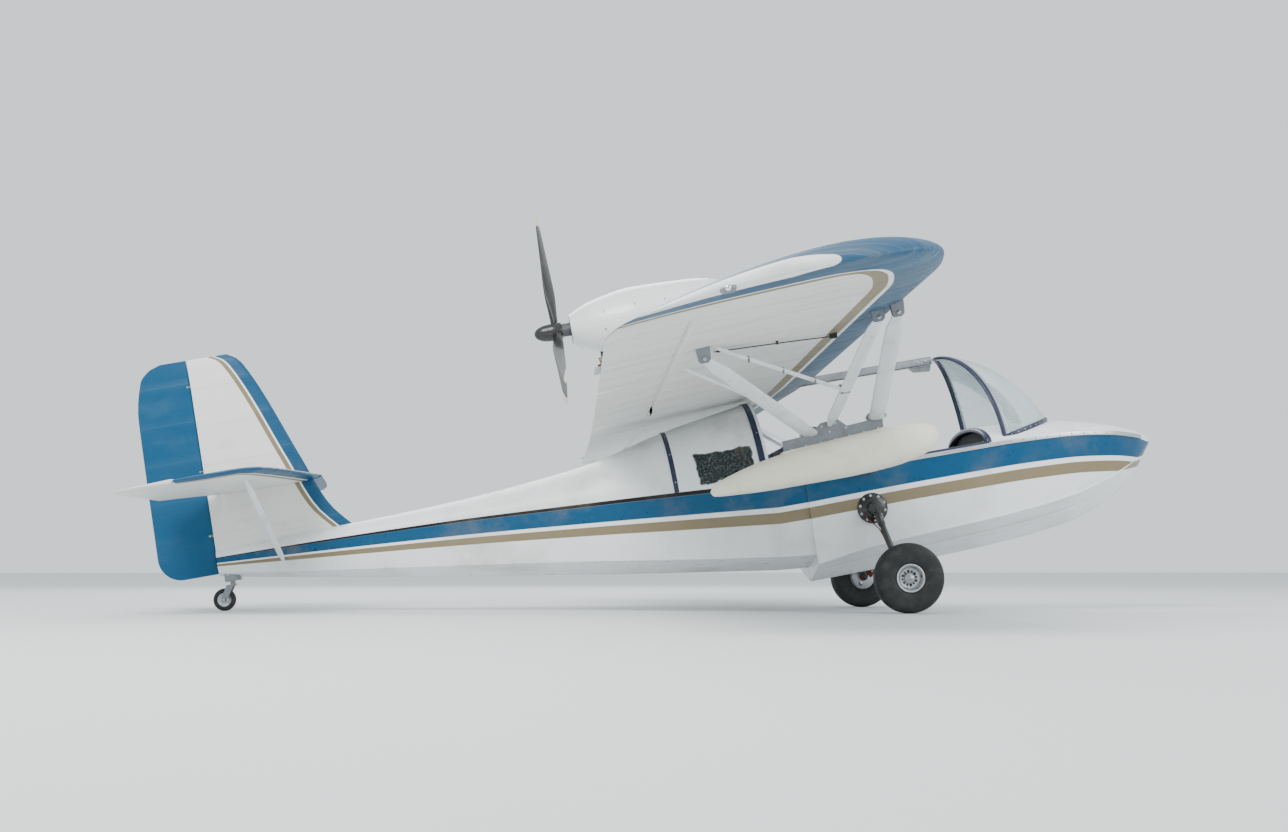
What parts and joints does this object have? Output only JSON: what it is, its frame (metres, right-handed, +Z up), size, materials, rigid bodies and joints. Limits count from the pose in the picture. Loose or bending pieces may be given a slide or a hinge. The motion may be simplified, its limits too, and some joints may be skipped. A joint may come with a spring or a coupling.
{
  "type": "amphibious flying boat",
  "caption": "Light two-seat amphibious flying boat with a strut-braced high wing, wing floats, hull-side wheels, a tail wheel and a pusher propeller",
  "frame": {"origin": "middle of the floor area under the parked aircraft, half way along its length and on its plane of symmetry, at floor level", "axes": "+X to the nose, +Y to the left wing tip, +Z up; the aircraft stands tail-down, so its own axis is nose-up by 10 degrees about Y"},
  "size_m": [6.9054, 9.448, 2.7367],
  "materials": {
    "gelcoat": "white gelcoat with blue and gold stripes",
    "fabric_skin": "doped fabric, white with blue and gold bands, dirt in streaks",
    "strut_white": "white painted tube",
    "grey_alloy": "dull grey alloy",
    "black_paint": "black painted metal",
    "tyre": "black rubber",
    "rim_alloy": "silver painted casting",
    "steel": "bare steel",
    "rusty_caliper": "red-brown, rusted",
    "float_plastic": "cream moulded plastic",
    "clear_glazing": "clear acrylic",
    "navy_trim": "navy edge trim",
    "seat_cloth": "dark blue-grey cloth",
    "panel_dark": "dark crackle paint",
    "light_lens": "grey base with a bright dome",
    "engine_metal": "plain block for the engine",
    "propeller_black": "black composite blades"
  },
  "bodies": {
    "airframe": {"hull": "gelcoat", "aft_fuselage": "fabric_skin", "seat_left": "seat_cloth", "seat_right": "seat_cloth", "instrument_panel": "panel_dark", "control_sticks": "black_paint", "windscreen": "clear_glazing", "windscreen_trim": "navy_trim", "wing_middle": "fabric_skin", "overhead_tube": "grey_alloy", "wing_left": "fabric_skin", "wing_right": "fabric_skin", "strut_fitting_left": "grey_alloy", "strut_fitting_right": "grey_alloy", "lift_strut_front_left": "strut_white", "lift_strut_front_right": "strut_white", "lift_strut_rear_left": "strut_white", "lift_strut_rear_right": "strut_white", "float_channel_left": "grey_alloy", "float_channel_right": "grey_alloy", "wing_float_left": "float_plastic", "wing_float_right": "float_plastic", "float_brace_left": "strut_white", "float_brace_right": "strut_white", "jury_strut_front_left": "strut_white", "jury_strut_front_right": "strut_white", "jury_strut_rear_left": "strut_white", "jury_strut_rear_right": "strut_white", "nav_light_left": "light_lens", "nav_light_right": "light_lens", "gear_flange_left": "black_paint", "gear_flange_right": "black_paint", "gear_leg_left": "black_paint", "gear_leg_right": "black_paint", "brake_caliper_left": "rusty_caliper", "brake_caliper_right": "rusty_caliper", "tail_wheel_bracket": "steel", "fin": "fabric_skin", "stabiliser_left": "fabric_skin", "stabiliser_right": "fabric_skin", "tail_strut_left": "strut_white", "tail_strut_right": "strut_white", "engine_pylon": "gelcoat", "engine_cowl": "gelcoat", "engine_block": "engine_metal"},
    "main_wheel_left": {"brake_disc_left": "steel", "wheel_rim_left": "rim_alloy", "tyre_left": "tyre"},
    "main_wheel_right": {"brake_disc_right": "steel", "wheel_rim_right": "rim_alloy", "tyre_right": "tyre"},
    "tail_fork": {"tail_wheel_fork": "steel"},
    "tail_roller": {"tail_wheel": "tyre"},
    "propeller": {"propeller": "propeller_black"},
    "rudder": {"rudder": "fabric_skin"},
    "elevator": {"elevator": "fabric_skin"},
    "aileron_left": {"aileron_left": "fabric_skin"},
    "aileron_right": {"aileron_right": "fabric_skin"},
    "flap_left": {"flap_left": "fabric_skin"},
    "flap_right": {"flap_right": "fabric_skin"}
  },
  "joints": [
    {"name": "wheel_left_spin", "type": "hinge", "parent": "airframe", "child": "main_wheel_left", "pos_m": [1.58464, 0.84, 0.22177], "axis": [0, 1, 0], "continuous": true},
    {"name": "wheel_right_spin", "type": "hinge", "parent": "airframe", "child": "main_wheel_right", "pos_m": [1.58464, -0.84, 0.22177], "axis": [0, 1, 0], "continuous": true},
    {"name": "rudder_swing", "type": "hinge", "parent": "airframe", "child": "rudder", "pos_m": [-3.01329, 0, 0.83263], "axis": [-0.1736, 0, 0.9848], "range_deg": [-25, 25]},
    {"name": "tail_steer", "type": "hinge", "parent": "airframe", "child": "tail_fork", "pos_m": [-2.8027, 0, 0.16816], "axis": [-0.1736, 0, 0.9848], "range_deg": [-25, 25]},
    {"name": "tail_wheel_spin", "type": "hinge", "parent": "tail_fork", "child": "tail_roller", "pos_m": [-2.85723, 0, 0.07427], "axis": [0, 1, 0], "continuous": true},
    {"name": "propeller_spin", "type": "hinge", "parent": "airframe", "child": "propeller", "pos_m": [-0.65551, 0, 1.89824], "axis": [0.9848, 0, 0.1736], "continuous": true},
    {"name": "elevator_swing", "type": "hinge", "parent": "airframe", "child": "elevator", "pos_m": [-2.91227, 0, 0.78952], "axis": [0, 1, 0], "range_deg": [-20, 25]},
    {"name": "aileron_left_swing", "type": "hinge", "parent": "airframe", "child": "aileron_left", "pos_m": [-0.08641, 2.404, 1.34857], "axis": [-0.003, 0.9998, 0.0172], "range_deg": [-20, 20]},
    {"name": "aileron_right_swing", "type": "hinge", "parent": "airframe", "child": "aileron_right", "pos_m": [-0.08641, -2.404, 1.34857], "axis": [0.003, 0.9998, -0.0172], "range_deg": [-20, 20]},
    {"name": "flap_left_swing", "type": "hinge", "parent": "airframe", "child": "flap_left", "pos_m": [-0.08035, 0.402, 1.31416], "axis": [-0.003, 0.9998, 0.0172], "range_deg": [-30, 0]},
    {"name": "flap_right_swing", "type": "hinge", "parent": "airframe", "child": "flap_right", "pos_m": [-0.08035, -0.402, 1.31416], "axis": [0.003, 0.9998, -0.0172], "range_deg": [-30, 0]}
  ],
  "couplings": [
    {"joint": "tail_steer", "follows": "rudder_swing", "ratio": 1},
    {"joint": "aileron_right_swing", "follows": "aileron_left_swing", "ratio": -1},
    {"joint": "flap_right_swing", "follows": "flap_left_swing", "ratio": 1}
  ]
}
